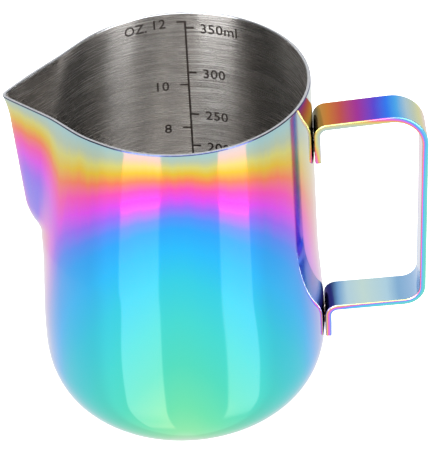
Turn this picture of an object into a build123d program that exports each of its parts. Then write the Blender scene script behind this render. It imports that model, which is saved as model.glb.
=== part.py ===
"""Milk frothing pitcher: a deep-drawn steel jug with a pressed pouring spout, and a flat
strap handle held by spot welds.

Millimetres. The pitcher stands on the XY plane with its axis on Z. The handle points
along +X and the spout along -X.
"""

import os
from math import cos, hypot, pi, radians, sin, sqrt, tan

from build123d import *

# ---------------------------------------------------------------- driving dimensions
height = 95.0                # resting plane to the level part of the rim
wall = 0.9                   # sheet thickness of the drawn body

foot_radius = 21.5           # outside of the flat ring that the pitcher stands on
recess_radius = 17.0         # shallow recess pressed into the base
recess_depth = 0.5
recess_draft = 45            # slope of the recess's edge, in degrees
belly_radius = 37.7          # widest outside radius
belly_height = 18.5
neck_radius = 36.15          # outside radius where the straight taper starts
neck_height = 48.0
rim_radius = 35.1            # outside radius at the rim, on the handle side

spout_start = 52.6           # height where the spout leaves the round wall
keel_reach = 39.4            # axis to the outside of the keel, at keel_height
keel_height = 60.45
keel_lean = 0.06             # how far the keel leans out per millimetre of height
toe_top = 61.4               # the keel's rounded lower end starts here
toe_height = 10.2
toe_depth = 7.3
lip_flare = 1.7              # extra reach of the pouring lip at the rim
lip_flare_height = 9.0
lip_level_to = 15.0          # the rim is level up to here, then curves down to the lip
lip_curve = 161.0            # radius of that downward curve
nose_radius = 1.3            # rounding of the keel in plan
flank_angle_rim = 44.5       # half angle of the spout's V in plan, at the rim
flank_angle_start = 60.0     # and where the spout starts
waist_depth = 4.8            # how far the rim is drawn in beside the spout
waist_span = 125.0           # angle from the spout at which that drawing-in ends
waist_growth = 1.3           # power by which it grows with height
flank_span = 75.0            # the spout's flanks lie within this angle
crease_start = 0.9           # softness of the fold between flank and round wall
crease_rim = 2.5

strap_width = 11.0
strap_thickness = 1.6
grip_reach = 64.35           # axis to the outside face of the grip
tab_gap = 0.05               # play between a tab and the wall, bridged by the welds
top_strip_height = 82.2      # centre line of the top strip at its tab
top_strip_rise = 2.7         # how much it rises on the way out to the grip
low_strip_height = 25.25
low_strip_rise = 1.6
top_tab_end = 71.3           # lower ends of the two tabs
low_tab_end = 15.4
tab_bend = 2.6               # bend radii of the strap's centre line
top_grip_bend = 8.0
low_grip_bend = 5.1
strap_edge = 0.35            # rounding of the strap's long edges

weld_radius = 1.5            # spot weld nuggets, two in each tab
weld_in_wall = 0.4
weld_in_tab = 0.8
top_weld_heights = (73.7, 77.5)
low_weld_heights = (18.4, 21.8)

# ---------------------------------------------------------------- the drawn body's shape
section_points = 96          # points round each section
spout_crowding = 0.6         # how much closer together they stand at the spout
neck_sections = 20           # sections from the neck to the rim
cut_margin = 1.2             # the drawn blank stands this far above the finished rim
cutter_margin = 5.0          # the rim's cutting tool reaches this far past the round body
spout_margin = 15.0          # and this far past it on the spout's side
pocket_clearance = 1.0       # a weld's pocket is open this far outside the wall

# cubic Bezier curves of (radius, height): each has two ends and two handles
corner_curve = ((foot_radius, 0), (25.5, 0), (belly_radius, 1.8), (belly_radius, belly_height))
belly_curve = ((belly_radius, belly_height), (belly_radius, 30.5), (36.4, 37.0), (neck_radius, neck_height))
corner_steps = (0, 0.12, 0.25, 0.38, 0.5, 0.62, 0.75, 0.88)
belly_steps = (0, 0.13, 0.27, 0.42, 0.57, 0.71, 0.85, 0.93, 1)


def bezier_point(curve, t):
    """Radius and height on a cubic Bezier curve."""
    weights = ((1 - t) ** 3, 3 * (1 - t) ** 2 * t, 3 * (1 - t) * t**2, t**3)
    return tuple(sum(w * point[k] for w, point in zip(weights, curve)) for k in (0, 1))


def taper_radius(z):
    """Outside radius of the straight taper above the neck."""
    return neck_radius - (neck_radius - rim_radius) * (z - neck_height) / (height - neck_height)


def keel_radius(z):
    """Distance from the axis to the outside of the keel."""
    toe = min(1.0, max(0.0, (toe_top - z) / toe_height))
    flare = max(0.0, 1 - (height - z) / lip_flare_height)
    lean = keel_lean * (z - keel_height)
    return keel_reach + lean + lip_flare * flare**2 - toe_depth * (1 - sqrt(1 - toe**2))


def outline_radius(z, angle):
    """Outside radius at a height and at an angle, in radians, from the spout."""
    if z <= neck_height:
        return taper_radius(z)
    growth = max(0.0, (z - spout_start) / (height - spout_start))
    waist = cos(min(1.0, abs(angle) / radians(waist_span)) * pi / 2) ** 2
    body = taper_radius(z) - waist_depth * growth**waist_growth * waist
    if abs(angle) > radians(flank_span):
        return body
    # the V flank is a hyperbola: two straight sides joined by the keel's rounded nose
    half_angle = radians(flank_angle_start + (flank_angle_rim - flank_angle_start) * growth)
    apex = keel_radius(z) + nose_radius
    along = apex * cos(angle)
    spread = cos(angle) ** 2 - (sin(angle) / tan(half_angle)) ** 2
    span = apex**2 - nose_radius**2
    flank = span / (along + sqrt(along**2 - spread * span))
    past_nearest = abs(angle) + half_angle - pi / 2
    if past_nearest > 0:
        flank = apex * sin(half_angle) * cos(past_nearest)
    crease = crease_start + (crease_rim - crease_start) * growth
    return max(body, flank) + max(0.0, crease - abs(body - flank)) ** 2 / (4 * crease)


def section_angles():
    """Angles from the spout, closer together where the spout turns sharply."""
    turns = [2 * pi * i / section_points - pi for i in range(section_points)]
    return [turn - spout_crowding * sin(turn) for turn in turns]


def spout_section(z, inset):
    """Points round the body at a height, moved into the jug by inset."""
    ring = [(-outline_radius(z, a) * cos(a), -outline_radius(z, a) * sin(a)) for a in section_angles()]
    moved = []
    for i, (x, y) in enumerate(ring):
        (x0, y0), (x1, y1) = ring[i - 1], ring[(i + 1) % len(ring)]
        step = hypot(x1 - x0, y1 - y0)
        moved.append((x - inset * (y1 - y0) / step, y + inset * (x1 - x0) / step))
    return moved


def round_section(radius):
    """Points round a circular section."""
    return [(-radius * cos(a), -radius * sin(a)) for a in section_angles()]


def low_stations(inset):
    """Radius and height of each round section, moved into the jug by inset."""
    stations = [bezier_point(corner_curve, t) for t in corner_steps]
    stations += [bezier_point(belly_curve, t) for t in belly_steps]
    moved = []
    for i, (r, z) in enumerate(stations):
        (r0, z0), (r1, z1) = stations[max(i - 1, 0)], stations[min(i + 1, len(stations) - 1)]
        if i == 0:
            z1 = z0
        step = hypot(r1 - r0, z1 - z0)
        moved.append((r - inset * (z1 - z0) / step, z + inset * (r1 - r0) / step))
    return moved


def drawn_form(inset, top):
    """The solid inside the wall, moved in by inset, from the foot up to a height."""
    with BuildPart() as form:
        for r, z in low_stations(inset):
            with BuildSketch(Plane.XY.offset(z)):
                with BuildLine():
                    Spline(*round_section(r), periodic=True)
                make_face()
        for i in range(neck_sections):
            z = neck_height + (top - neck_height) * (i + 1) / neck_sections
            with BuildSketch(Plane.XY.offset(z)):
                with BuildLine():
                    Spline(*spout_section(z, inset), periodic=True)
                make_face()
        loft()
    return form.part


# ---------------------------------------------------------------- pitcher body
top_tab_face = taper_radius(sum(top_weld_heights) / 2)
low_tab_face = belly_radius
cut_back = belly_radius + cutter_margin
cut_front = belly_radius + spout_margin
lip_fall = (cut_front - lip_level_to) ** 2 / (2 * lip_curve)

with BuildPart() as pitcher_body:
    add(drawn_form(0, height + cut_margin))
    add(drawn_form(wall, height + 2 * cut_margin), mode=Mode.SUBTRACT)
    # the rim is trimmed level, and falls away in a gentle curve towards the lip
    with BuildSketch(Plane.XZ):
        with BuildLine():
            Line((-lip_level_to, height), (cut_back, height))
            Line((cut_back, height), (cut_back, height + cutter_margin))
            Line((cut_back, height + cutter_margin), (-cut_front, height + cutter_margin))
            Line((-cut_front, height + cutter_margin), (-cut_front, height - lip_fall))
            TangentArc((-lip_level_to, height), (-cut_front, height - lip_fall), tangent=(-1, 0))
        make_face()
    extrude(amount=cut_back, both=True, mode=Mode.SUBTRACT)
    # the base is pressed inwards inside the foot ring
    with BuildSketch(Plane.XY):
        Circle(recess_radius)
    extrude(amount=recess_depth, taper=recess_draft, mode=Mode.SUBTRACT)
    with BuildSketch(Plane.XY.offset(wall)):
        Circle(recess_radius)
    extrude(amount=recess_depth, taper=recess_draft)
    # shallow seats of the spot weld nuggets
    for face, heights in ((top_tab_face, top_weld_heights), (low_tab_face, low_weld_heights)):
        with BuildSketch(Plane.YZ.offset(face - weld_in_wall)):
            with Locations(*[(0, z) for z in heights]):
                Circle(weld_radius)
        extrude(amount=weld_in_wall + pocket_clearance, mode=Mode.SUBTRACT)
pitcher_body.part.label = "pitcher_body"

# ---------------------------------------------------------------- handle strap
half_strap = strap_thickness / 2
tab_standoff = tab_gap + half_strap
low_tab_line = low_tab_face + tab_standoff
grip_line = grip_reach - half_strap

with BuildPart() as handle_strap:
    with BuildSketch(Plane.XZ):
        with BuildLine():
            FilletPolyline(
                (taper_radius(top_tab_end) + tab_standoff, top_tab_end),
                (taper_radius(top_strip_height) + tab_standoff, top_strip_height),
                (grip_line, top_strip_height + top_strip_rise),
                (grip_line, low_strip_height + low_strip_rise),
                (low_tab_line, low_strip_height),
                (low_tab_line, low_tab_end),
                radius=(tab_bend, top_grip_bend, low_grip_bend, tab_bend),
            )
        trace(line_width=strap_thickness)
    extrude(amount=strap_width / 2, both=True)
    side_faces = handle_strap.faces().filter_by(Axis.Y)
    fillet(side_faces.edges(), radius=strap_edge)
    for face, heights in ((top_tab_face, top_weld_heights), (low_tab_face, low_weld_heights)):
        with BuildSketch(Plane.YZ.offset(face - weld_in_wall)):
            with Locations(*[(0, z) for z in heights]):
                Circle(weld_radius)
        extrude(amount=weld_in_wall + weld_in_tab, mode=Mode.SUBTRACT)
handle_strap.part.label = "handle_strap"


# ---------------------------------------------------------------- spot weld nuggets
def weld_pair(name, face, heights):
    """Two nuggets of fused metal, half in the wall and half in the tab."""
    with BuildPart() as nuggets:
        with BuildSketch(Plane.YZ.offset(face - weld_in_wall)):
            with Locations(*[(0, z) for z in heights]):
                Circle(weld_radius)
        extrude(amount=weld_in_wall + weld_in_tab)
    nuggets.part.label = name
    return nuggets.part


upper_spot_welds = weld_pair("upper_spot_welds", top_tab_face, top_weld_heights)
lower_spot_welds = weld_pair("lower_spot_welds", low_tab_face, low_weld_heights)

# ---------------------------------------------------------------- output
os.makedirs("parts", exist_ok=True)
for piece in (pitcher_body.part, handle_strap.part, upper_spot_welds, lower_spot_welds):
    export_step(piece, f"parts/{piece.label}.step")
    print(piece.label, len(piece.solids()), "solids", round(piece.volume, 1), "mm3, valid:", piece.is_valid)
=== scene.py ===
"""Milk frothing pitcher: the visual model and its studio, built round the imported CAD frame.

Sizes are in millimetres, turned into metres by MM where a mesh is made. The axis is on Z,
the handle points along +X and the spout along -X.
"""

from math import cos, hypot, pi, radians, sin, sqrt, tan

import bmesh
import bpy
from mathutils import Matrix, Vector


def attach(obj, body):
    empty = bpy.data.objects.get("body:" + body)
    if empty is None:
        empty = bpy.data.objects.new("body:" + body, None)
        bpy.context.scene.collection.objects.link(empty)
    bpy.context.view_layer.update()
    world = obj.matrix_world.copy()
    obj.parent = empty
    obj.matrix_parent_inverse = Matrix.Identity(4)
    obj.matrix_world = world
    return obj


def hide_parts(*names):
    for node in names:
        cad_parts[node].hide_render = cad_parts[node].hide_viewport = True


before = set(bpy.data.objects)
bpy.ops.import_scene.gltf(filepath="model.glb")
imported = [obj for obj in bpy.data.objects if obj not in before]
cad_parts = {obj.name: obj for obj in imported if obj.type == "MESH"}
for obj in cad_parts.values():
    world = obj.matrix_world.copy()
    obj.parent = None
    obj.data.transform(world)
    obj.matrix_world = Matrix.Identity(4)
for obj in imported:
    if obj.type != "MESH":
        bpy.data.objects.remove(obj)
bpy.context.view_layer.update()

MM = 0.001

# ---------------------------------------------------------------- sizes shared with the CAD model
height = 95.0
wall = 0.9
foot_radius = 21.5
recess_radius = 17.0
recess_depth = 0.5
belly_radius = 37.7
belly_height = 18.5
neck_radius = 36.15
neck_height = 48.0
rim_radius = 35.1
spout_start = 52.6
keel_reach = 39.4
keel_height = 60.45
keel_lean = 0.06
toe_top = 61.4
toe_height = 10.2
toe_depth = 7.3
lip_flare = 1.7
lip_flare_height = 9.0
lip_level_to = 15.0
lip_curve = 161.0
nose_radius = 1.3
flank_angle_rim = 44.5
flank_angle_start = 60.0
waist_depth = 4.8
waist_span = 125.0
waist_growth = 1.3
flank_span = 75.0
crease_start = 0.9
crease_rim = 2.5
strap_width = 11.0
strap_thickness = 1.6
grip_reach = 64.35
tab_gap = 0.05
top_strip_height = 82.2
top_strip_rise = 2.7
low_strip_height = 25.25
low_strip_rise = 1.6
top_tab_end = 71.3
low_tab_end = 15.4
tab_bend = 2.6
top_grip_bend = 8.0
low_grip_bend = 5.1

# control points of the round wall's two curves, as radius and height
corner_curve = (
    (foot_radius, 0), (foot_radius + 4, 0),
    (belly_radius, 1.8), (belly_radius, belly_height),
)
belly_curve = (
    (belly_radius, belly_height), (belly_radius, belly_height + 12),
    (neck_radius + 0.25, neck_height - 11), (neck_radius, neck_height),
)


# ---------------------------------------------------------------- shape of the drawn body
def bezier(curve, t):
    """Point and direction on a cubic Bezier curve of (radius, height) points."""
    u = 1 - t
    weights = (u**3, 3 * u**2 * t, 3 * u * t**2, t**3)
    slopes = (-3 * u**2, 3 * u**2 - 6 * u * t, 6 * u * t - 3 * t**2, 3 * t**2)
    point = [sum(w * p[k] for w, p in zip(weights, curve)) for k in (0, 1)]
    direction = [sum(w * p[k] for w, p in zip(slopes, curve)) for k in (0, 1)]
    return point, direction


def taper_radius(z):
    """Outside radius of the straight taper above the neck."""
    return neck_radius - (neck_radius - rim_radius) * (z - neck_height) / (height - neck_height)


def keel_radius(z):
    """Distance from the axis to the outside of the spout's keel."""
    toe = min(1.0, max(0.0, (toe_top - z) / toe_height))
    flare = max(0.0, 1 - (height - z) / lip_flare_height)
    lean = keel_lean * (z - keel_height)
    return keel_reach + lean + lip_flare * flare**2 - toe_depth * (1 - sqrt(1 - toe**2))


def outline_radius(z, angle):
    """Outside radius at a height and at an angle, in radians, from the spout."""
    if z <= neck_height:
        return taper_radius(z)
    growth = max(0.0, (z - spout_start) / (height - spout_start))
    waist = cos(min(1.0, abs(angle) / radians(waist_span)) * pi / 2) ** 2
    body = taper_radius(z) - waist_depth * growth**waist_growth * waist
    if abs(angle) > radians(flank_span):
        return body
    half_angle = radians(flank_angle_start + (flank_angle_rim - flank_angle_start) * growth)
    apex = keel_radius(z) + nose_radius
    along = apex * cos(angle)
    spread = cos(angle) ** 2 - (sin(angle) / tan(half_angle)) ** 2
    span = apex**2 - nose_radius**2
    flank = span / (along + sqrt(along**2 - spread * span))
    past_nearest = abs(angle) + half_angle - pi / 2
    if past_nearest > 0:
        flank = apex * sin(half_angle) * cos(past_nearest)
    crease = crease_start + (crease_rim - crease_start) * growth
    return max(body, flank) + max(0.0, crease - abs(body - flank)) ** 2 / (4 * crease)


def rim_height(angle):
    """Height of the trimmed rim, which falls away towards the lip."""
    z = height
    for _ in range(4):
        past_level = max(0.0, outline_radius(z, angle) * cos(angle) - lip_level_to)
        z = height - past_level**2 / (2 * lip_curve)
    return z


def wall_point(z, angle, inset=0.0):
    """Point on the wall above the neck, moved into the jug along the wall's plan normal."""
    step = 0.002
    before, here, after = [
        Vector((-outline_radius(z, a) * cos(a), -outline_radius(z, a) * sin(a), z))
        for a in (angle - step, angle, angle + step)
    ]
    along = (after - before).normalized()
    return here + inset * Vector((-along.y, along.x, 0))


# ---------------------------------------------------------------- mesh helpers
def mesh_object(name, verts, faces, materials, smooth=True):
    """A new mesh object from points in millimetres."""
    mesh = bpy.data.meshes.new(name)
    mesh.from_pydata([tuple(MM * c for c in v) for v in verts], [], faces)
    mesh.validate()
    mesh.update()
    for material in materials:
        mesh.materials.append(material)
    if smooth:
        mesh.shade_smooth()
    obj = bpy.data.objects.new(name, mesh)
    bpy.context.collection.objects.link(obj)
    return obj


# ---------------------------------------------------------------- pitcher body
ring_points = 480
spout_crowding = 0.6         # how much closer together the points stand at the spout
rim_crowding = 0.25          # and the rings near the rim
base_rings = 22
corner_steps, belly_steps, wall_steps = 36, 24, 90
recess_edge = 1.2            # width of the recess's sloping edge
rim_edge = 0.3               # polished rounding of the trimmed rim
edge_turns = 6               # rings over each rounding
tinted_rings = 4             # the coating runs this far over the rim's outer rounding
outside_slot, inside_slot, edge_slot, tint_slot = range(4)

even_angles = [2 * pi * i / ring_points - pi for i in range(ring_points)]
section_angles = [turn - spout_crowding * sin(turn) for turn in even_angles]


def round_ring(r, z):
    return [Vector((-r * cos(a), -r * sin(a), z)) for a in section_angles]


def floor_rings(z):
    """Rings of the pressed base, from the middle out; both faces of the sheet are like this."""
    rings = []
    for i in range(1, base_rings + 1):
        r = foot_radius * i / base_rings
        blend = min(1.0, max(0.0, (recess_radius - r) / recess_edge))
        rings.append(round_ring(r, z + recess_depth * blend * blend * (3 - 2 * blend)))
    return rings


def low_rings(inset):
    """Rings of the round lower wall, from the foot to the neck."""
    rings = []
    for curve, steps in ((corner_curve, corner_steps), (belly_curve, belly_steps)):
        for i in range(1, steps + 1):
            (r, z), (dr, dz) = bezier(curve, i / steps)
            size = hypot(dr, dz)
            rings.append(round_ring(r - inset * dz / size, z + inset * dr / size))
    return rings


rim_heights = [rim_height(a) for a in section_angles]


def high_rings(inset):
    """Rings of the wall above the neck, which end a little below the rim."""
    rings = []
    for i in range(1, wall_steps + 1):
        part = i / wall_steps
        part = part + rim_crowding * part * (1 - part)
        rings.append([
            wall_point(neck_height + (top - rim_edge - neck_height) * part, a, inset)
            for a, top in zip(section_angles, rim_heights)
        ])
    return rings


def rim_rings():
    """Rings over the sheet's trimmed edge, with small polished roundings."""
    rings = []
    turns = [radians(90 / edge_turns * i) for i in range(1, edge_turns + 1)]
    for side in (0, 1):
        for turn in (turns if side == 0 else list(reversed(turns))):
            inset = rim_edge * (1 - cos(turn))
            inset = inset if side == 0 else wall - inset
            lift = rim_edge * (1 - sin(turn))
            rings.append([
                wall_point(top - lift, a, inset)
                for a, top in zip(section_angles, rim_heights)
            ])
    return rings


def build_body(outside, inside, edge_steel, edge_tint):
    """The drawn body as one closed skin: outside, trimmed edge and inside."""
    outer = floor_rings(0) + low_rings(0) + high_rings(0)
    over = rim_rings()
    inner = floor_rings(wall) + low_rings(wall) + high_rings(wall)
    rings = outer + over + list(reversed(inner))
    ring_slots = [outside_slot] * (len(outer) - 1) + [tint_slot] * tinted_rings
    ring_slots += [edge_slot] * (len(over) + 1 - tinted_rings) + [inside_slot] * (len(inner) - 1)
    verts = [Vector((0, 0, recess_depth))]
    for ring in rings:
        verts += ring
    verts.append(Vector((0, 0, wall + recess_depth)))
    count = ring_points
    faces, slots = [], []
    for j in range(count):
        faces.append((0, 1 + (j + 1) % count, 1 + j))
        slots.append(outside_slot)
    for i, slot in enumerate(ring_slots):
        low, high = 1 + i * count, 1 + (i + 1) * count
        for j in range(count):
            k = (j + 1) % count
            faces.append((low + j, low + k, high + k, high + j))
            slots.append(slot)
    last, top = 1 + (len(rings) - 1) * count, len(verts) - 1
    for j in range(count):
        faces.append((last + j, last + (j + 1) % count, top))
        slots.append(inside_slot)
    body = mesh_object("pitcher_shell", verts, faces, (outside, inside, edge_steel, edge_tint))
    body.data.polygons.foreach_set("material_index", slots)
    return body


# ---------------------------------------------------------------- handle strap
bend_steps = 14              # sections round each bend
longest_run = 1.5            # longest distance between sections
strap_corner = 1.2           # rounding of the tabs' corners
strap_edge = 0.35            # rounding of the strap's long edges
edge_steps = 6
end_rows = (0.0, 0.05, 0.12, 0.22, 0.35, 0.6, 0.9)    # sections close to each end


def rounded_path(corners, radii, arc_steps):
    """Points and directions along straight runs joined by tangent arcs, in the XZ plane."""
    path = []
    first, last = Vector(corners[0]), Vector(corners[-1])
    path.append((first, (Vector(corners[1]) - first).normalized()))
    for before, corner, after, radius in zip(corners, corners[1:], corners[2:], radii):
        before, corner, after = Vector(before), Vector(corner), Vector(after)
        arrive, leave = (corner - before).normalized(), (after - corner).normalized()
        turn = arrive.angle_signed(leave)
        setback = radius * tan(abs(turn) / 2)
        start = corner - arrive * setback
        side = -1 if turn > 0 else 1
        normal = Vector((-arrive.y, arrive.x)) * side
        centre = start + normal * radius
        for i in range(arc_steps + 1):
            a = abs(turn) * i / arc_steps
            direction = arrive * cos(a) + normal * sin(a)
            path.append((centre - normal * radius * cos(a) + arrive * radius * sin(a), direction))
    path.append((last, (last - Vector(corners[-2])).normalized()))
    return path


def divide(path, longest):
    """The same path with its long straight runs cut into shorter ones."""
    out = [path[0]]
    for (p, d), (q, e) in zip(path, path[1:]):
        pieces = max(1, int((q - p).length / longest)) if (d - e).length < 1e-4 else 1
        for i in range(1, pieces + 1):
            out.append((p.lerp(q, i / pieces), e))
    return out


def build_strap(face_coat, edge_coat):
    """The strap along its bent path, with each point's place along and across it."""
    half = strap_thickness / 2
    standoff = tab_gap + half
    corners = [
        (taper_radius(top_tab_end) + standoff, top_tab_end),
        (taper_radius(top_strip_height) + standoff, top_strip_height),
        (grip_reach - half, top_strip_height + top_strip_rise),
        (grip_reach - half, low_strip_height + low_strip_rise),
        (belly_radius + standoff, low_strip_height),
        (belly_radius + standoff, low_tab_end),
    ]
    bends = (tab_bend, top_grip_bend, low_grip_bend, tab_bend)
    path = divide(rounded_path(corners, bends, bend_steps), longest_run)
    lengths = [0.0]
    for (p, _), (q, _) in zip(path, path[1:]):
        lengths.append(lengths[-1] + (q - p).length)
    rows = []
    for s in end_rows:
        rows.append((s, path[0][0] + path[0][1] * s, path[0][1]))
    for length, (p, d) in zip(lengths, path):
        if strap_corner <= length <= lengths[-1] - strap_corner:
            rows.append((length, p, d))
    for s in reversed(end_rows):
        rows.append((lengths[-1] - s, path[-1][0] - path[-1][1] * s, path[-1][1]))
    verts, depths = [], []
    arc = [radians(90 * i / edge_steps) for i in range(edge_steps + 1)]
    for s, p, d in rows:
        from_end = min(s, lengths[-1] - s)
        width = strap_width / 2
        if from_end < strap_corner:
            width -= strap_corner - sqrt(strap_corner**2 - (strap_corner - from_end) ** 2)
        thick = half
        if from_end < strap_edge:
            thick -= strap_edge - sqrt(strap_edge**2 - (strap_edge - from_end) ** 2)
        normal = Vector((-d.y, d.x))
        section = []
        for across, through, start in ((1, 1, 0), (-1, 1, 1), (-1, -1, 2), (1, -1, 3)):
            r = min(strap_edge, thick)
            steps = arc if start % 2 == 0 else list(reversed(arc))
            for a in steps:
                w, t = width - r + r * cos(a), thick - r + r * sin(a)
                section.append((across * w, through * t))
        for w, t in section:
            depths.append(t / half)
            q = p + normal * t
            verts.append(Vector((q.x, w, q.y)))
    count = len(arc) * 4
    faces = [tuple(range(count))]
    slots = [1]
    along = [s / lengths[-1] for s, _, _ in rows]
    for i in range(len(rows) - 1):
        for j in range(count):
            k = (j + 1) % count
            low, high = i * count, (i + 1) * count
            faces.append((low + j, high + j, high + k, low + k))
            slots.append(0 if j in (len(arc) - 1, 3 * len(arc) - 1) else 1)
    faces.append(tuple(reversed(range((len(rows) - 1) * count, len(rows) * count))))
    slots.append(1)
    strap = mesh_object("handle_strap_bent", verts, faces, (face_coat, edge_coat))
    strap.data.polygons.foreach_set("material_index", slots)
    run = strap.data.attributes.new("along", "FLOAT", "POINT")
    run.data.foreach_set("value", [part for part in along for _ in range(count)])
    depth = strap.data.attributes.new("depth", "FLOAT", "POINT")
    depth.data.foreach_set("value", depths)
    bm = bmesh.new()
    bm.from_mesh(strap.data)
    bmesh.ops.recalc_face_normals(bm, faces=bm.faces)
    bm.to_mesh(strap.data)
    bm.free()
    weighted = strap.modifiers.new("flat_faces", "WEIGHTED_NORMAL")
    weighted.keep_sharp = True
    return strap


# ---------------------------------------------------------------- capacity scale
scale_azimuth = 84.45        # of the scale's upright line, in degrees from the handle
scale_line_width = 0.54
scale_line_top = 92.55
scale_line_end = 24.0
tick_length = 2.3
tick_root = 0.5              # the ticks start this share of the line's half width from its middle
line_steps = 24
digit_size = 4.0
ink_height = 0.04            # the marks stand this far off the wall
ink_seat = 0.03              # and reach this far into it
ml_text_start = 4.1
oz_text_end = 5.3
text_drop = 0.25             # the numbers' middles are this far below their ticks
stroke_growth = 0.045        # how much each side of a stroke is thickened
letter_spacing = 1.08
# the ounces' unit: its width, and where its lower left corner stands
unit_squeeze, unit_left, unit_drop, unit_height = 0.95, 17.1, 1.2, 91.4
# each mark's text and the height of its tick
ml_marks = (
    ("350ml", 90.4), ("300", 76.3), ("250", 62.8), ("200", 52.4), ("150", 41.5), ("100", 31.0),
)
oz_marks = (("12", 92.3), ("10", 72.4), ("8", 58.4), ("6", 46.0), ("4", 33.5))


def round_radius(z):
    """Outside radius of the round wall between its widest height and the neck."""
    low, high = 0.0, 1.0
    for _ in range(30):
        middle = (low + high) / 2
        if bezier(belly_curve, middle)[0][1] < z:
            low = middle
        else:
            high = middle
    return bezier(belly_curve, low)[0][0]


def on_inner_wall(u, z, lift):
    """Point on the inside of the wall, u millimetres to the right of the scale's line."""
    angle = radians(scale_azimuth - 180) - u / (rim_radius - wall)
    if z >= neck_height:
        return wall_point(z, angle, wall + lift)
    r = round_radius(z) - wall - lift
    return Vector((-r * cos(angle), -r * sin(angle), z))


def flat_text(text):
    """Flat mesh of a printed word, from its lower left corner."""
    curve = bpy.data.curves.new("mark", "FONT")
    curve.body = text
    curve.size = digit_size
    curve.resolution_u = 4
    curve.offset = stroke_growth
    curve.space_character = letter_spacing
    holder = bpy.data.objects.new("mark", curve)
    bpy.context.collection.objects.link(holder)
    bpy.context.view_layer.update()
    solved = holder.evaluated_get(bpy.context.evaluated_depsgraph_get())
    mesh = bpy.data.meshes.new_from_object(solved)
    bpy.data.objects.remove(holder)
    bm = bmesh.new()
    bm.from_mesh(mesh)
    bmesh.ops.remove_doubles(bm, verts=bm.verts, dist=1e-4)
    bmesh.ops.triangulate(bm, faces=bm.faces)
    verts = [(v.co.x, v.co.y) for v in bm.verts]
    faces = [[v.index for v in f.verts] for f in bm.faces]
    bm.free()
    bpy.data.meshes.remove(mesh)
    return verts, faces


def thicken(verts, faces):
    """Closed thin solid of a flat drawing, wrapped onto the inner wall."""
    count = len(verts)
    edges = {}
    for face in faces:
        for a, b in zip(face, face[1:] + face[:1]):
            edges[(a, b)] = True
    solid = [on_inner_wall(u, z, ink_height) for u, z in verts]
    solid += [on_inner_wall(u, z, -ink_seat) for u, z in verts]
    skin = [tuple(face) for face in faces]
    skin += [tuple(count + v for v in reversed(face)) for face in faces]
    skin += [(b, a, count + a, count + b) for a, b in edges if (b, a) not in edges]
    return solid, skin


def bar(u0, u1, z0, z1, steps):
    """Flat strip drawn from its corners, divided along its height."""
    verts = [(u, z0 + (z1 - z0) * i / steps) for i in range(steps + 1) for u in (u0, u1)]
    return verts, [[2 * i, 2 * i + 1, 2 * i + 3, 2 * i + 2] for i in range(steps)]


def build_scale(ink):
    """The upright line with its ticks, numbers and units, as one object."""
    half = scale_line_width / 2
    drawings = [bar(-half, half, scale_line_end, scale_line_top, line_steps)]
    for marks, side in ((ml_marks, 1), (oz_marks, -1)):
        for text, z in marks:
            reach = sorted((side * half * tick_root, side * tick_length))
            drawings.append(bar(*reach, z - half, z + half, 1))
            verts, faces = flat_text(text)
            left, right = min(x for x, _ in verts), max(x for x, _ in verts)
            middle = (min(y for _, y in verts) + max(y for _, y in verts)) / 2
            shift = ml_text_start - left if side == 1 else -oz_text_end - right
            drawings.append(([(x + shift, y - middle + z - text_drop) for x, y in verts], faces))
    verts, faces = flat_text("OZ.")
    verts = [(unit_squeeze * x - unit_left, y - unit_drop + unit_height) for x, y in verts]
    drawings.append((verts, faces))
    verts, faces = [], []
    for drawing in drawings:
        solid, skin = thicken(*drawing)
        faces += [tuple(len(verts) + v for v in face) for face in skin]
        verts += solid
    return mesh_object("capacity_scale", verts, faces, (ink,), smooth=False)


# ---------------------------------------------------------------- shader node helpers
def new_material(name):
    material = bpy.data.materials.new(name)
    material.use_nodes = True
    return material, material.node_tree, material.node_tree.nodes["Principled BSDF"]


def put(tree, socket, value):
    """Link a node's output to a socket, or set the socket's own number or colour."""
    if isinstance(value, bpy.types.NodeSocket):
        tree.links.new(value, socket)
    else:
        socket.default_value = value


def calc(tree, operation, *values):
    node = tree.nodes.new("ShaderNodeMath")
    node.operation = operation
    for socket, value in zip(node.inputs, values):
        put(tree, socket, value)
    return node.outputs[0]


def remap(tree, value, low, high, to_low, to_high):
    """A smooth step of a value between two limits."""
    node = tree.nodes.new("ShaderNodeMapRange")
    node.interpolation_type = "SMOOTHSTEP"
    for socket, number in zip(node.inputs, (value, low, high, to_low, to_high)):
        put(tree, socket, number)
    return node.outputs[0]


def ramp(tree, value, stops):
    """Colour ramp; stops are a position and a display colour from 0 to 255."""
    node = tree.nodes.new("ShaderNodeValToRGB")
    elements = node.color_ramp.elements
    while len(elements) < len(stops):
        elements.new(0.5)
    for element, (position, colour) in zip(elements, stops):
        element.position = position
        element.color = (*[to_linear(c / 255) for c in colour], 1)
    put(tree, node.inputs[0], value)
    return node.outputs[0]


def to_linear(c):
    return c / 12.92 if c <= 0.04045 else ((c + 0.055) / 1.055) ** 2.4


def to_display(c):
    return 1.055 * c ** (1 / 2.4) - 0.055


def mix_colour(tree, factor, first, second):
    node = tree.nodes.new("ShaderNodeMix")
    node.data_type = "RGBA"
    put(tree, node.inputs["Factor"], factor)
    put(tree, node.inputs[6], first)
    put(tree, node.inputs[7], second)
    return node.outputs[2]


def level_length(tree, a, b):
    """Length of a level vector from its two parts."""
    squares = [calc(tree, "MULTIPLY", part, part) for part in (a, b)]
    return calc(tree, "SQRT", calc(tree, "ADD", *squares))


def centred(tree, value, reach):
    """Noise from 0 to 1 turned into a value on both sides of zero, reach wide in all."""
    return calc(tree, "MULTIPLY", calc(tree, "SUBTRACT", value, 0.5), reach)


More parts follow.
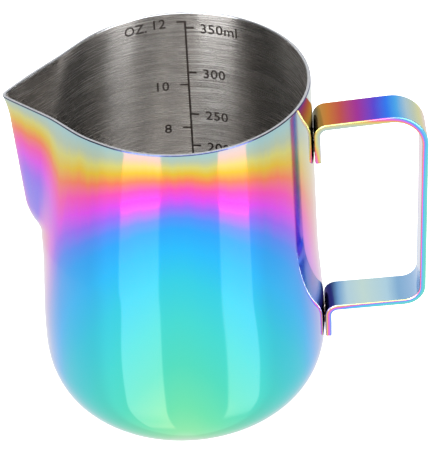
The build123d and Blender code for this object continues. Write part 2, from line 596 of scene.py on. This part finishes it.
def position(tree):
    """Object position in millimetres, as x, y and z."""
    place = tree.nodes.new("ShaderNodeTexCoord").outputs["Object"]
    scaled = tree.nodes.new("ShaderNodeVectorMath")
    scaled.operation = "SCALE"
    scaled.inputs["Scale"].default_value = 1000
    tree.links.new(place, scaled.inputs[0])
    split = tree.nodes.new("ShaderNodeSeparateXYZ")
    tree.links.new(scaled.outputs[0], split.inputs[0])
    return split.outputs


def noise(tree, scales, detail=2.0, rough=0.5):
    """Noise of the object's position, in features per millimetre along x, y and z."""
    x, y, z = position(tree)
    joined = tree.nodes.new("ShaderNodeCombineXYZ")
    for socket, value, scale in zip(joined.inputs, (x, y, z), scales):
        put(tree, socket, calc(tree, "MULTIPLY", value, scale))
    node = tree.nodes.new("ShaderNodeTexNoise")
    node.inputs["Scale"].default_value = 1.0
    node.inputs["Detail"].default_value = detail
    node.inputs["Roughness"].default_value = rough
    tree.links.new(joined.outputs[0], node.inputs["Vector"])
    return node.outputs["Fac"]


def bump(tree, shader, height_value, strength, distance):
    node = tree.nodes.new("ShaderNodeBump")
    node.inputs["Strength"].default_value = strength
    node.inputs["Distance"].default_value = distance
    put(tree, node.inputs["Height"], height_value)
    tree.links.new(node.outputs[0], shader.inputs["Normal"])


# ---------------------------------------------------------------- materials
# interference colours of the coating, by height up the front of the jug in hundredths of its scale
coating_stops = (
    (0.00, (196, 238, 204)), (0.08, (170, 237, 184)), (0.13, (136, 234, 170)),
    (0.22, (106, 229, 176)), (0.35, (76, 222, 192)), (0.48, (60, 219, 212)),
    (0.60, (40, 209, 232)), (0.69, (22, 190, 255)), (0.745, (30, 170, 255)),
    (0.775, (80, 146, 255)), (0.803, (158, 106, 254)), (0.828, (232, 74, 246)),
    (0.852, (254, 80, 190)), (0.875, (252, 130, 92)), (0.895, (236, 196, 44)),
    (0.910, (222, 215, 116)), (0.926, (186, 203, 178)), (0.942, (168, 206, 208)),
    (1.00, (190, 214, 219)),
)
coating_top = 96.6           # height that the bands lean towards round the sides
front_drop = 0.8             # how much lower they stand at the front
side_lean = 0.72             # how far the bands lean where the wall faces sideways
edge_lean = 0.12             # and how much further where it faces the handle or the spout
spout_lean = 0.60            # share of the lean that is left on the spout's flanks
front_width = 0.085          # the bands start to lean this far round from the front
front_softness = 0.015       # and they turn there this softly
painted_sheen_colour = (0.72, 0.72, 0.80)    # painted sheen: a pale colour for the walls that face sideways, standing in for the whitening of a glancing reflection
painted_sheen_strength = 0.3          # and how strongly they take it
edge_grey = (0.6, 0.62, 0.66)     # a plain grey that the strap's narrow sides are partly mixed towards
edge_greying = 0.22             # and how strongly they take it
spout_sides = (-0.96, -0.80)    # x over the radius, where the spout's share starts and ends
spout_foot = (2, 26)         # heights above the spout's start, over which that share sets in
least_level, least_radius = 0.05, 1.0    # these keep the divisors away from zero
drift_scales, drift_reach = (0.03, 0.03, 0.012), 3.0    # slow waves of the bands
grain_scales, grain_reach = (0.35, 0.35, 0.05), 1.2     # and their fine unevenness
noise_range = (0.3, 0.7)     # most of a noise lies between these
coarse_share = 0.25          # of the broad lines in the inside's brushing


def polish(tree, shader, low, high, scales):
    """Slightly uneven gloss, as a polished and handled surface has."""
    gloss = remap(tree, noise(tree, scales, 3.0), *noise_range, low, high)
    put(tree, shader.inputs["Roughness"], gloss)


def make_coating(name):
    """Vapour-coated polished steel of the body; its colours lean with the wall's direction."""
    material, tree, shader = new_material(name)
    x, y, z = position(tree)
    facing = tree.nodes.new("ShaderNodeSeparateXYZ")
    tree.links.new(tree.nodes.new("ShaderNodeTexCoord").outputs["Normal"], facing.inputs[0])
    across, forward, _ = facing.outputs
    level = calc(tree, "MAXIMUM", level_length(tree, across, forward), least_level)
    side = calc(tree, "DIVIDE", across, level)
    side = calc(tree, "SQRT", calc(tree, "ADD", calc(tree, "MULTIPLY", side, side), front_softness))
    lean = calc(tree, "MULTIPLY", calc(tree, "SUBTRACT", side, front_width), side_lean)
    lean = calc(tree, "ADD", lean, remap(tree, side, 0.78, 1.0, 0.0, edge_lean))
    radius = calc(tree, "MAXIMUM", level_length(tree, x, y), least_radius)
    handle_share = calc(tree, "DIVIDE", x, radius)
    above_foot = calc(tree, "SUBTRACT", z, spout_start)
    on_spout = calc(tree, "MULTIPLY", remap(tree, handle_share, *spout_sides, 1.0, 0.0),
                    remap(tree, above_foot, *spout_foot, 0.0, 1.0))
    lost = calc(tree, "MULTIPLY", on_spout, 1 - spout_lean)
    lean = calc(tree, "MULTIPLY", lean, calc(tree, "SUBTRACT", 1.0, lost))
    shift = calc(tree, "MULTIPLY", calc(tree, "SUBTRACT", coating_top, z), lean)
    drift = centred(tree, noise(tree, drift_scales), drift_reach)
    grain = centred(tree, noise(tree, grain_scales), grain_reach)
    thickness = calc(tree, "ADD", calc(tree, "ADD", z, shift), calc(tree, "ADD", drift, grain))
    thickness = calc(tree, "SUBTRACT", thickness, front_drop)
    phase = calc(tree, "MULTIPLY", thickness, 0.01)
    film = ramp(tree, phase, coating_stops)
    # painted sheen: walls that face sideways are mixed towards a pale colour, a painted glancing
    # reflection on the coating
    painted_sheen = remap(tree, side, 0.84, 1.0, 0.0, painted_sheen_strength)
    put(tree, shader.inputs["Base Color"], mix_colour(tree, painted_sheen, film, (*painted_sheen_colour, 1)))
    put(tree, shader.inputs["Specular Tint"], ramp(tree, phase, (
        (0.3, (250, 246, 252)), (0.7, (246, 238, 252)),
        (0.85, (250, 240, 236)), (0.93, (246, 248, 240)))))
    shader.inputs["Metallic"].default_value = 1.0
    shader.inputs["Coat Weight"].default_value = 1.0
    shader.inputs["Coat IOR"].default_value = 1.33
    shader.inputs["Coat Roughness"].default_value = 0.02
    polish(tree, shader, 0.05, 0.11, (0.06, 0.06, 0.02))
    bump(tree, shader, noise(tree, (0.05, 0.05, 0.02)), 0.12, 0.0004)
    return material


def strap_value(tree, name):
    """A number that the strap's mesh carries: how far along it a point is, or how deep."""
    node = tree.nodes.new("ShaderNodeAttribute")
    node.attribute_name = name
    return node.outputs["Fac"]


def make_strap_coating(name, stops):
    """Vapour-coated steel of the handle's wide faces, coloured along the strap."""
    material, tree, shader = new_material(name)
    wander = centred(tree, noise(tree, (0.08, 0.08, 0.08)), 0.014)
    phase = calc(tree, "ADD", strap_value(tree, "along"), wander)
    put(tree, shader.inputs["Base Color"], ramp(tree, phase, stops))
    shader.inputs["Metallic"].default_value = 1.0
    polish(tree, shader, 0.08, 0.17, (0.3, 0.3, 0.3))
    bump(tree, shader, noise(tree, (0.15, 0.15, 0.15)), 0.05, 0.0003)
    return material


def make_strap_edge(name, stops):
    """The coating on the strap's narrow sides, which turns through its colours across them."""
    material, tree, shader = new_material(name)
    middle = ramp(tree, strap_value(tree, "along"), stops)
    wander = centred(tree, noise(tree, (0.15, 0.2, 0.15)), 0.02)
    room = calc(tree, "SUBTRACT", edge_turn, middle)
    turning = calc(tree, "MULTIPLY", room, strap_value(tree, "depth"))
    phase = calc(tree, "SUBTRACT", calc(tree, "ADD", middle, wander), turning)
    film = ramp(tree, phase, coating_stops)
    # the sides' coating colour is mixed a little towards a plain grey, which greys and darkens them
    put(tree, shader.inputs["Base Color"], mix_colour(tree, edge_greying, film, (*edge_grey, 1)))
    shader.inputs["Metallic"].default_value = 1.0
    polish(tree, shader, 0.08, 0.16, (0.3, 0.3, 0.3))
    return material


def make_brushed(name):
    """Bare steel of the inside, brushed round the axis."""
    material, tree, shader = new_material(name)
    fine = noise(tree, (0.07, 0.07, 4.6), 3.0, 0.65)
    coarse = noise(tree, (0.06, 0.06, 1.7), 2.0, 0.6)
    lines = calc(tree, "ADD", calc(tree, "MULTIPLY", fine, 1 - coarse_share),
                 calc(tree, "MULTIPLY", coarse, coarse_share))
    put(tree, shader.inputs["Base Color"], ramp(tree, lines, (
        (0.28, (172, 169, 166)), (0.5, (198, 195, 192)), (0.72, (223, 221, 219)))))
    put(tree, shader.inputs["Roughness"], remap(tree, lines, 0.35, 0.65, 0.225, 0.285))
    shader.inputs["Metallic"].default_value = 1.0
    shader.inputs["Anisotropic"].default_value = 1.0
    shader.inputs["Anisotropic Rotation"].default_value = 0.25
    tangent = tree.nodes.new("ShaderNodeTangent")
    tangent.direction_type = "RADIAL"
    tangent.axis = "Z"
    tree.links.new(tangent.outputs[0], shader.inputs["Tangent"])
    bump(tree, shader, lines, 0.11, 0.00012)
    return material


def make_steel(name, dark, light, low, high):
    """Bare steel with a fine uneven grain."""
    material, tree, shader = new_material(name)
    grain = noise(tree, (1.4, 1.4, 1.4), 4.0, 0.6)
    put(tree, shader.inputs["Base Color"], ramp(tree, grain, ((0.3, dark), (0.7, light))))
    put(tree, shader.inputs["Roughness"], remap(tree, grain, *noise_range, low, high))
    shader.inputs["Metallic"].default_value = 1.0
    bump(tree, shader, grain, 0.1, 0.0001)
    return material


def make_ink(name):
    """Etched dark marks of the scale."""
    material, tree, shader = new_material(name)
    speck = noise(tree, (3.0, 3.0, 3.0), 3.0)
    tone = ramp(tree, speck, ((0.35, (26, 20, 18)), (0.65, (44, 36, 32))))
    put(tree, shader.inputs["Base Color"], tone)
    put(tree, shader.inputs["Roughness"], remap(tree, speck, *noise_range, 0.45, 0.65))
    shader.inputs["Metallic"].default_value = 0.35
    return material


# from the upper tab's end over the top strip, down the grip and back to the lower tab's end
face_stops = (
    (0.00, (120, 92, 64)), (0.07, (92, 80, 68)), (0.084, (104, 90, 72)),
    (0.09, (196, 146, 62)), (0.105, (212, 128, 46)), (0.13, (204, 84, 74)),
    (0.165, (172, 44, 160)), (0.20, (92, 70, 224)), (0.225, (40, 126, 255)),
    (0.245, (74, 178, 250)), (0.265, (176, 208, 222)), (0.295, (214, 212, 140)),
    (0.325, (228, 184, 192)), (0.45, (240, 214, 236)), (0.60, (204, 218, 244)),
    (0.72, (176, 206, 242)), (0.775, (140, 186, 226)), (0.80, (186, 222, 240)),
    (0.85, (206, 232, 226)), (0.885, (190, 222, 236)), (0.905, (120, 170, 220)),
    (0.915, (44, 72, 130)), (0.93, (30, 40, 70)), (1.00, (150, 130, 160)),
)
# coating phase along the strap's sides; they turn through the more colours the further
# it is from edge_turn
# near the top strip (0.05 to 0.18) the phases sit in the pale silver-yellow band, a painted
# highlight along that edge as well as the coating's colour
edge_phases = (
    (0.00, 0.868), (0.05, 0.915), (0.13, 0.925), (0.18, 0.91), (0.22, 0.88), (0.30, 0.775),
    (0.36, 0.70), (0.42, 0.63), (0.70, 0.59), (0.80, 0.62), (0.86, 0.72), (0.90, 0.83),
    (1.00, 0.845),
)
edge_stops = [(part, [255 * to_display(phase)] * 3) for part, phase in edge_phases]
edge_turn = 0.94

outside = make_coating("rainbow_coating")
inside = make_brushed("brushed_steel")
edge_steel = make_steel("polished_edge", (190, 192, 198), (218, 220, 224), 0.14, 0.26)
edge_tint = make_steel("coating_edge", (52, 62, 112), (84, 96, 142), 0.12, 0.2)
strap_faces = make_strap_coating("strap_coating", face_stops)
strap_edges = make_strap_edge("strap_edge_coating", edge_stops)
weld_steel = make_steel("weld_steel", (120, 112, 106), (168, 160, 152), 0.3, 0.45)
ink = make_ink("scale_ink")

body = build_body(outside, inside, edge_steel, edge_tint)
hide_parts("pitcher_body")
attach(body, "root")
strap = build_strap(strap_faces, strap_edges)
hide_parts("handle_strap")
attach(strap, "root")
scale = build_scale(ink)
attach(scale, "root")
for name in ("upper_spot_welds", "lower_spot_welds"):
    welds = bpy.data.objects[name]
    for slot in welds.material_slots:
        slot.material = weld_steel

# ---------------------------------------------------------------- studio
camera_distance = 535.2
camera_azimuth = radians(1.45)
camera_elevation = radians(35.47)
camera_roll = radians(-2.94)
camera_target = Vector((9.99, 0.25, 50.05))
focal_length = 163.7
sensor_width = 36

level_share = cos(camera_elevation)
toward = Vector((sin(camera_azimuth) * level_share, -cos(camera_azimuth) * level_share,
                 sin(camera_elevation)))
camera_data = bpy.data.cameras.new("camera")
camera_data.lens = focal_length
camera_data.sensor_width = sensor_width
camera = bpy.data.objects.new("camera", camera_data)
bpy.context.collection.objects.link(camera)
right = Vector((cos(camera_azimuth), sin(camera_azimuth), 0))
up = toward.cross(right)
rolled_right = right * cos(camera_roll) + up * sin(camera_roll)
rolled_up = up * cos(camera_roll) - right * sin(camera_roll)
place = Matrix((rolled_right, rolled_up, toward)).transposed().to_4x4()
place.translation = MM * (camera_target + toward * camera_distance)
camera.matrix_world = place
bpy.context.scene.camera = camera

scene = bpy.context.scene
scene.view_settings.view_transform = "Standard"

# studio: directions are degrees round from the front, and heights are degrees above the
# horizon; each pair called a fade holds the two ends of a soft change
# a strip is its middle and half its width; a low one also has the height where it ends
low_strips = ((-34.0, 16.5, -66.0), (47.3, 13.8, -55.0))
high_strips = ((-34.5, 16.5), (52.5, 12.5))
strip_edge, strip_fade = 0.6, 4.0
low_strip_colour = (2.15, 1.2, 1.25)
deep_strip_colour = (1.6, 1.14, 1.18)
high_strip_light = 11.0
floor_glow, floor_side_glow, floor_back_glow = 1.0, 0.88, 0.84
front_light, side_light, back_light, top_light = 1.1, 0.02, 0.85, 0.4
bar_light, bar_height = 6.0, 52.0
side_fade, back_fade = (52.0, 66.0), (105.0, 135.0)
floor_side_fade, floor_back_fade = (60.0, 78.0), (112.0, 135.0)
horizon_fade, top_fade = (-4.0, 6.0), (62.0, 72.0)
bar_edge_fade, bar_end_fade = (8.0, 10.0), (60.0, 75.0)
high_strip_fade, deep_strip_fade = (60.0, 64.0), (-56.0, -40.0)


def grey(tree, level):
    joined = tree.nodes.new("ShaderNodeCombineColor")
    for socket in joined.inputs:
        put(tree, socket, level)
    return joined.outputs[0]


def strip_mask(tree, turn, rise, strips):
    """1 inside the upright light strips and 0 elsewhere."""
    mask = 0.0
    for centre, half, *end in strips:
        off = calc(tree, "ABSOLUTE", calc(tree, "SUBTRACT", turn, centre))
        strip = remap(tree, off, half - strip_edge, half + strip_edge, 1.0, 0.0)
        if end:
            fade = remap(tree, rise, end[0] - strip_fade, end[0] + strip_fade, 0.0, 1.0)
            strip = calc(tree, "MULTIPLY", strip, fade)
        mask = calc(tree, "MAXIMUM", mask, strip)
    return mask


def build_world():
    """Soft studio light by direction: walls, floor, light strips and a bar overhead."""
    world = bpy.data.worlds.new("studio")
    world.use_nodes = True
    tree = world.node_tree
    direction = tree.nodes.new("ShaderNodeTexCoord").outputs["Generated"]
    split = tree.nodes.new("ShaderNodeSeparateXYZ")
    tree.links.new(direction, split.inputs[0])
    x, y, z = split.outputs
    bearing = calc(tree, "ARCTAN2", x, calc(tree, "MULTIPLY", y, -1.0))
    turn = calc(tree, "MULTIPLY", bearing, 180 / pi)
    away = calc(tree, "ABSOLUTE", turn)
    rise = calc(tree, "MULTIPLY", calc(tree, "ARCSINE", z), 180 / pi)
    sides = remap(tree, away, *side_fade, front_light, side_light)
    backs = remap(tree, away, *back_fade, 0.0, back_light - side_light)
    upper = calc(tree, "ADD", sides, backs)
    above = remap(tree, rise, *horizon_fade, 0.0, 1.0)
    under = calc(tree, "SUBTRACT", 1.0, above)
    below = calc(tree, "MAXIMUM",
                 remap(tree, away, *floor_side_fade, floor_glow, floor_side_glow),
                 remap(tree, away, *floor_back_fade, 0.0, floor_back_glow))
    level = calc(tree, "ADD", calc(tree, "MULTIPLY", upper, above),
                 calc(tree, "MULTIPLY", below, under))
    overhead = remap(tree, rise, *top_fade, 0.0, 1.0)
    level = calc(tree, "ADD", level, calc(tree, "MULTIPLY", overhead, top_light))
    off_bar = calc(tree, "ABSOLUTE", calc(tree, "SUBTRACT", rise, bar_height))
    bar = calc(tree, "MULTIPLY", remap(tree, off_bar, *bar_edge_fade, 1.0, 0.0),
               remap(tree, away, *bar_end_fade, 1.0, 0.0))
    level = calc(tree, "ADD", level, calc(tree, "MULTIPLY", bar, bar_light))
    high = strip_mask(tree, turn, rise, high_strips)
    low = strip_mask(tree, turn, rise, low_strips)
    high = calc(tree, "MULTIPLY", calc(tree, "MULTIPLY", high, above),
                remap(tree, rise, *high_strip_fade, 1.0, 0.0))
    low = calc(tree, "MULTIPLY", low, under)
    mask = calc(tree, "ADD", high, low)
    shallow = remap(tree, rise, *deep_strip_fade, 0.0, 1.0)
    strip = mix_colour(tree, shallow, (*deep_strip_colour, 1), (*low_strip_colour, 1))
    strip = mix_colour(tree, above, strip, (*[high_strip_light] * 3, 1))
    light = mix_colour(tree, mask, grey(tree, level), strip)
    put(tree, tree.nodes["Background"].inputs["Color"], light)
    return world


scene.world = build_world()

floor_grey, floor_roughness, floor_brightness = 0.85, 0.9, 0.75
floor_half, floor_level = 2500.0, -0.05
floor_material, _, floor_shader = new_material("floor_paint")
floor_shader.inputs["Base Color"].default_value = (floor_grey, floor_grey, floor_grey, 1)
floor_shader.inputs["Roughness"].default_value = floor_roughness
floor_shader.inputs["Emission Color"].default_value = (1, 1, 1, 1)
floor_shader.inputs["Emission Strength"].default_value = floor_brightness
floor_corners = [
    (x * floor_half, y * floor_half, floor_level)
    for x, y in ((-1, -1), (1, -1), (1, 1), (-1, 1))
]
floor = mesh_object("floor", floor_corners, [(0, 1, 2, 3)], (floor_material,))
floor.visible_glossy = False
